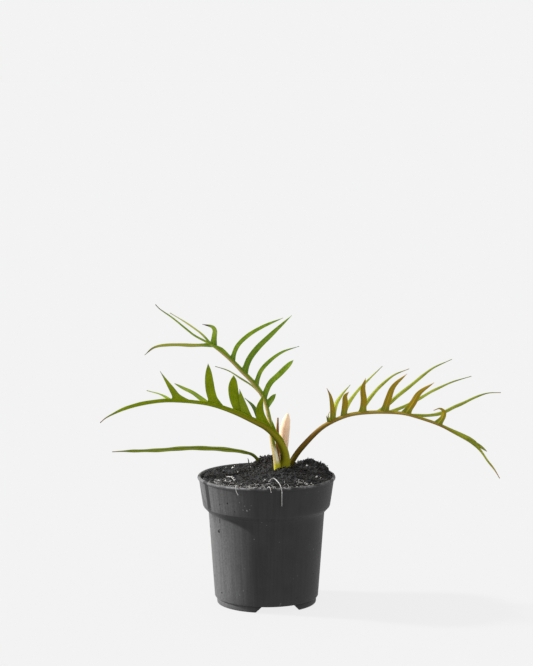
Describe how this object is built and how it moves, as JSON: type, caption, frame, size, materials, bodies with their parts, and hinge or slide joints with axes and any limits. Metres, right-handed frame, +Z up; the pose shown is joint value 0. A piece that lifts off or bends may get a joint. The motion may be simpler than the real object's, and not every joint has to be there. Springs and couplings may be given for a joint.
{
  "type": "potted philodendron tortum",
  "caption": "Young philodendron tortum with narrow, deeply cut arching leaves, a pink sheath and pale surface roots, in a dark round nursery pot filled with soil.",
  "frame": {"origin": "middle of the pot's flat underside, on the surface that the pot stands on", "axes": "+X to the right along the plant's widest spread, +Y away from the side shown in the picture, +Z up along the pot's axis"},
  "size_m": [0.348, 0.1219, 0.2628],
  "materials": {
    "pot": "satin",
    "soil": "matte",
    "stem": "matte",
    "leaf_olive": "satin",
    "leaf_green": "satin",
    "leaf_bronze": "satin",
    "sheath_pink": "matte",
    "sheath_dry": "matte",
    "root": "matte"
  },
  "bodies": {
    "root": {"pot": "pot", "soil": "soil", "stem": "stem", "leaf_left": "leaf_olive", "leaf_upper": "leaf_green", "leaf_right": "leaf_bronze", "leaf_low": "leaf_olive", "bud_sheath": "sheath_pink", "dry_sheath": "sheath_dry", "root_1": "root", "root_2": "root", "root_3": "root", "root_4": "root"}
  },
  "joints": []
}
